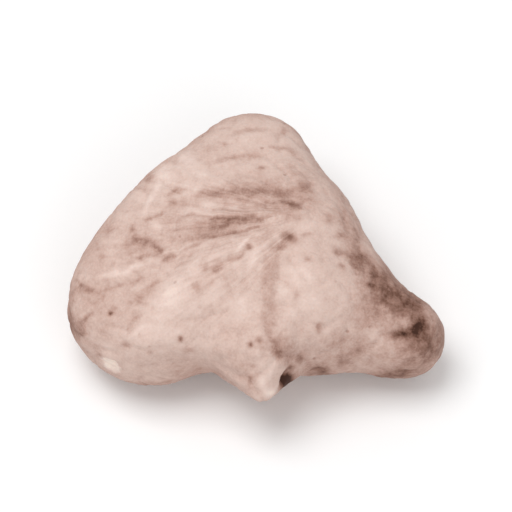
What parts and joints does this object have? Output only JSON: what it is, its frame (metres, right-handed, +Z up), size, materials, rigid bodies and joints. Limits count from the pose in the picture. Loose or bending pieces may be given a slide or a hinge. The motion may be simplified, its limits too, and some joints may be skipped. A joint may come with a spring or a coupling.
{
  "type": "dried water caltrop",
  "caption": "Dried, peeled water caltrop kernel: a plump, wrinkled slab with uneven lobes, a blunt apex and a small nib between the lobes.",
  "frame": {"origin": "centre of the bounding box at the surface that the kernel lies on", "axes": "+X across the lobes toward the smaller lobe, +Y from the nib toward the apex, +Z up out of the shown face"},
  "size_m": [0.032, 0.0268, 0.0137],
  "materials": {
    "dried_flesh": "matt, mottled and finely wrinkled"
  },
  "bodies": {
    "root": {"kernel": "dried_flesh"}
  },
  "joints": []
}
